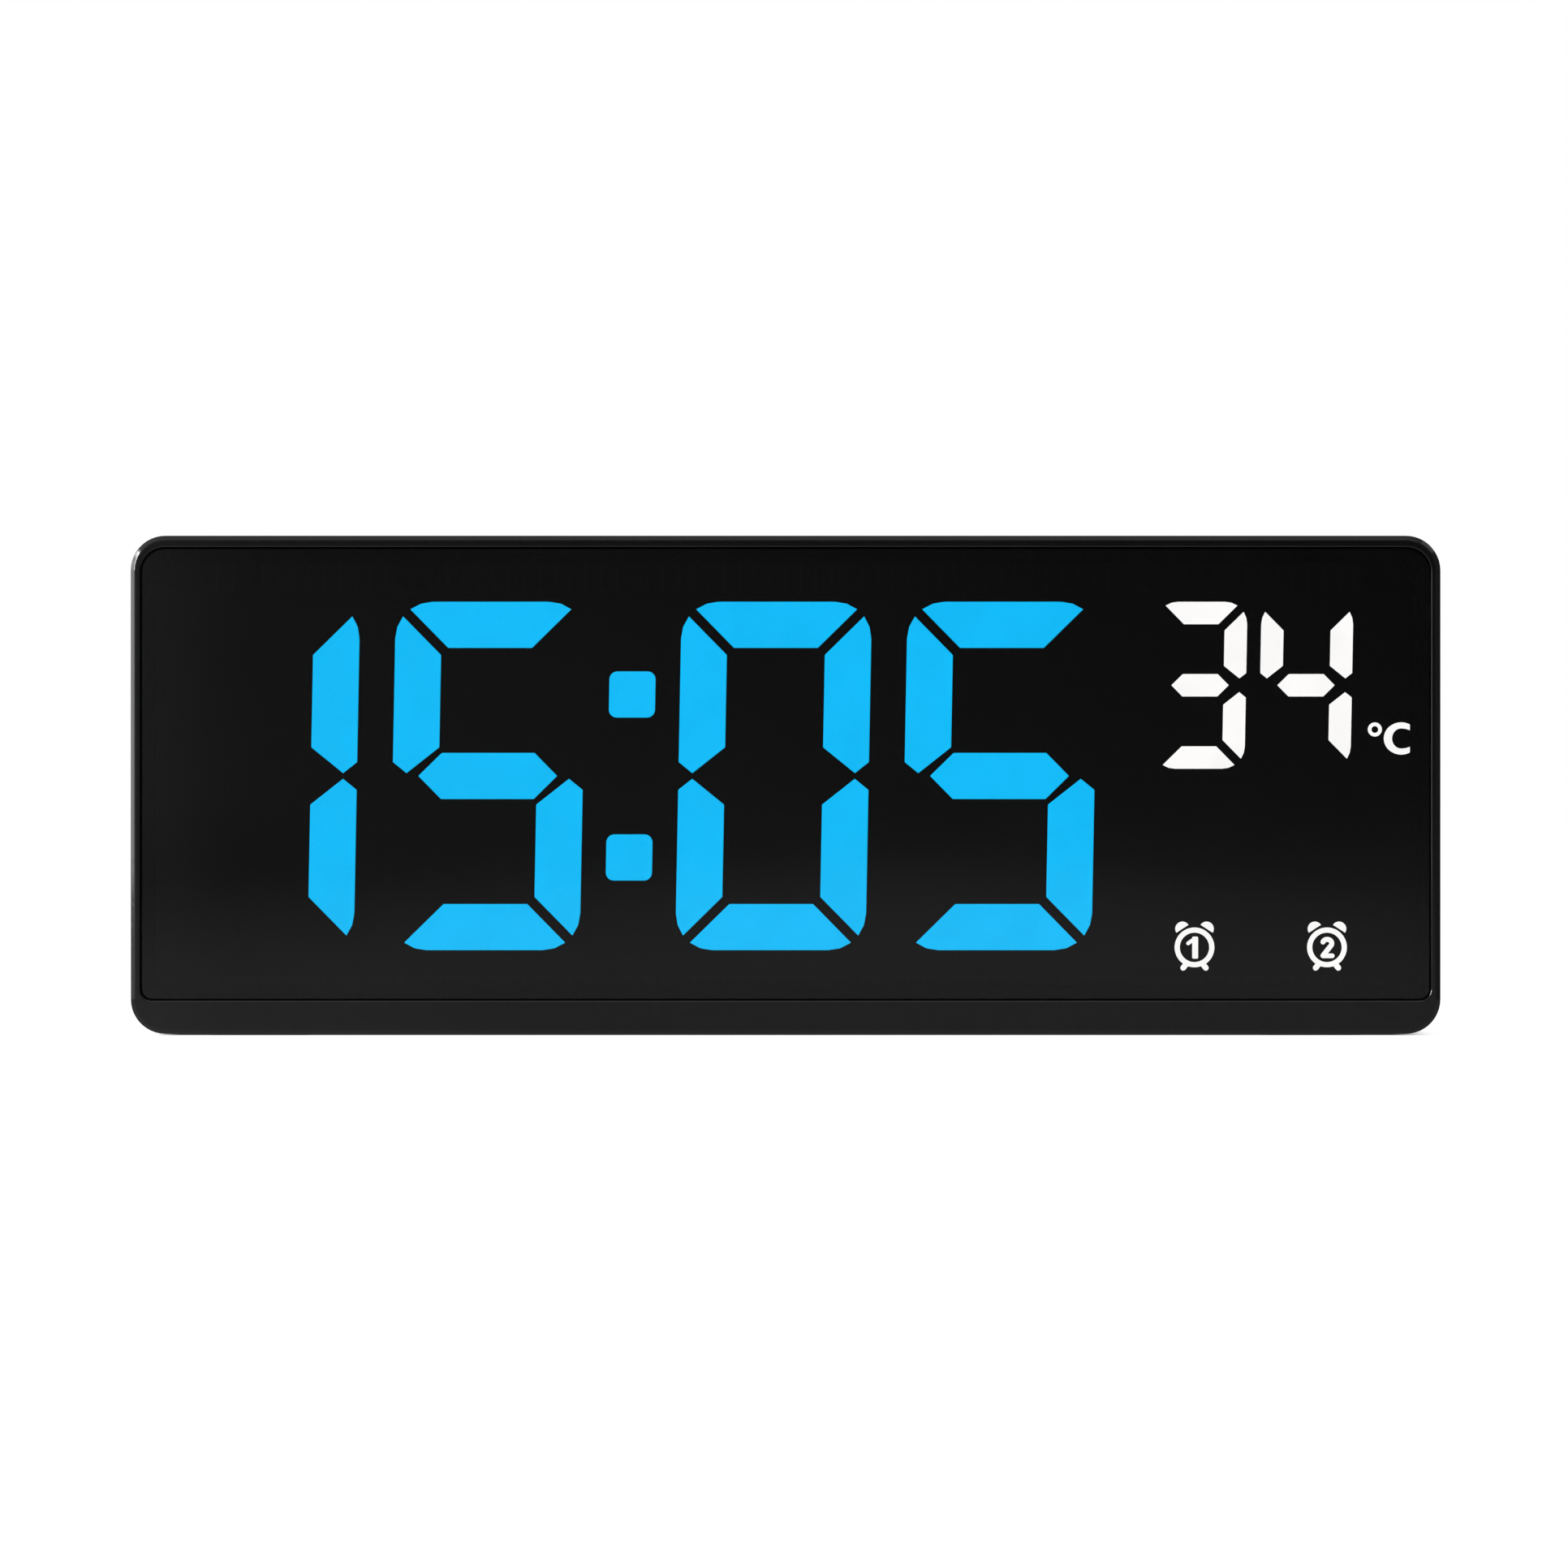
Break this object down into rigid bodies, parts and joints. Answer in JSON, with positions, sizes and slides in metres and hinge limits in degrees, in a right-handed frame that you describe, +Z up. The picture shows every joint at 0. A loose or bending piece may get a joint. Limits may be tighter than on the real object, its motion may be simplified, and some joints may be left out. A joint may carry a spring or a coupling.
{
  "type": "digital led desk clock",
  "caption": "Wedge-shaped desk clock with a glossy smoked front, large lit segment digits, small temperature digits, rear buttons and a battery door.",
  "frame": {"origin": "middle of the base, on the table, at the middle of the width and of the depth", "axes": "+X to the right as the display is seen, +Y from the display to the back, +Z up"},
  "size_m": [0.163, 0.034, 0.0622],
  "materials": {
    "gloss_black": "polished injection-moulded black",
    "smoked_lens": "smoked transparent, polished",
    "tape": "black double-sided tape",
    "film_black": "matt printed black",
    "reflector_white": "white moulded",
    "lit_blue": "translucent, lit from behind",
    "lit_white": "translucent, lit from behind",
    "sign_window": "printed dark window",
    "dark_insert": "translucent, unlit and smoked",
    "circuit_board": "green solder mask",
    "led_package": "light source package",
    "chip_black": "moulded epoxy",
    "bright_metal": "drawn bright steel",
    "capacitor_tan": "sintered",
    "socket_white": "moulded off-white",
    "cable_white": "flat flexible cable",
    "screw_steel": "zinc plated",
    "matt_black": "fine spark-eroded texture",
    "sounder_black": "moulded",
    "sensor_black": "epoxy bead",
    "cell_wrap": "plain shrink sleeve",
    "contact_nickel": "nickel plated",
    "foot_rubber": "soft matt",
    "button_rubber": "satin moulded",
    "plunger_plastic": "moulded"
  },
  "bodies": {
    "case": {"front_case": "gloss_black", "front_lens": "smoked_lens", "lens_tape": "tape", "display_film": "film_black", "reflector_block": "reflector_white", "hour_tens_lit": "lit_blue", "hour_units_lit": "lit_blue", "minute_tens_lit": "lit_blue", "minute_units_lit": "lit_blue", "colon_lit": "lit_blue", "temperature_tens_lit": "lit_white", "temperature_units_lit": "lit_white", "alarm_one_window": "sign_window", "alarm_two_window": "sign_window", "degree_window": "sign_window", "dark_segments": "dark_insert", "display_board": "circuit_board", "led_chips": "led_package", "clock_chip": "chip_black", "driver_chip": "chip_black", "crystal": "bright_metal", "capacitors": "capacitor_tan", "cable_sockets": "socket_white", "button_cable": "cable_white", "inlet_cable": "cable_white", "board_screws": "screw_steel", "case_screws": "screw_steel", "rear_board_screws": "screw_steel", "rear_cover": "matt_black", "tact_switches": "chip_black", "button_board": "circuit_board", "inlet_board": "circuit_board", "usb_socket": "bright_metal", "sounder": "sounder_black", "temperature_sensor": "sensor_black", "battery_cell_1": "cell_wrap", "battery_cell_2": "cell_wrap", "battery_cell_3": "cell_wrap", "battery_contacts": "contact_nickel", "battery_springs": "contact_nickel", "foot_front_left": "foot_rubber", "foot_front_right": "foot_rubber", "foot_back_left": "foot_rubber", "foot_back_right": "foot_rubber"},
    "set_key": {"set_button": "button_rubber", "set_plunger": "plunger_plastic"},
    "up_key": {"up_button": "button_rubber", "up_plunger": "plunger_plastic"},
    "down_key": {"down_button": "button_rubber", "down_plunger": "plunger_plastic"},
    "alarm_key": {"alarm_button": "button_rubber", "alarm_plunger": "plunger_plastic"},
    "dimmer_key": {"dimmer_button": "button_rubber", "dimmer_plunger": "plunger_plastic"},
    "door": {"battery_door": "matt_black"}
  },
  "joints": [
    {"name": "set_press", "type": "slide", "parent": "case", "child": "set_key", "axis": [0, -0.977, -0.2132], "range_m": [0, 0.0004], "stiffness_N_per_m": 3000, "springref_m": -0.0001},
    {"name": "up_press", "type": "slide", "parent": "case", "child": "up_key", "axis": [0, -0.977, -0.2132], "range_m": [0, 0.0004], "stiffness_N_per_m": 3000, "springref_m": -0.0001},
    {"name": "down_press", "type": "slide", "parent": "case", "child": "down_key", "axis": [0, -0.977, -0.2132], "range_m": [0, 0.0004], "stiffness_N_per_m": 3000, "springref_m": -0.0001},
    {"name": "alarm_press", "type": "slide", "parent": "case", "child": "alarm_key", "axis": [0, -0.977, -0.2132], "range_m": [0, 0.0004], "stiffness_N_per_m": 3000, "springref_m": -0.0001},
    {"name": "dimmer_press", "type": "slide", "parent": "case", "child": "dimmer_key", "axis": [0, -0.977, -0.2132], "range_m": [0, 0.0004], "stiffness_N_per_m": 3000, "springref_m": -0.0001},
    {"name": "door_lift", "type": "slide", "parent": "case", "child": "door", "axis": [0, 0.977, 0.2132], "range_m": [0, 0.045]}
  ]
}
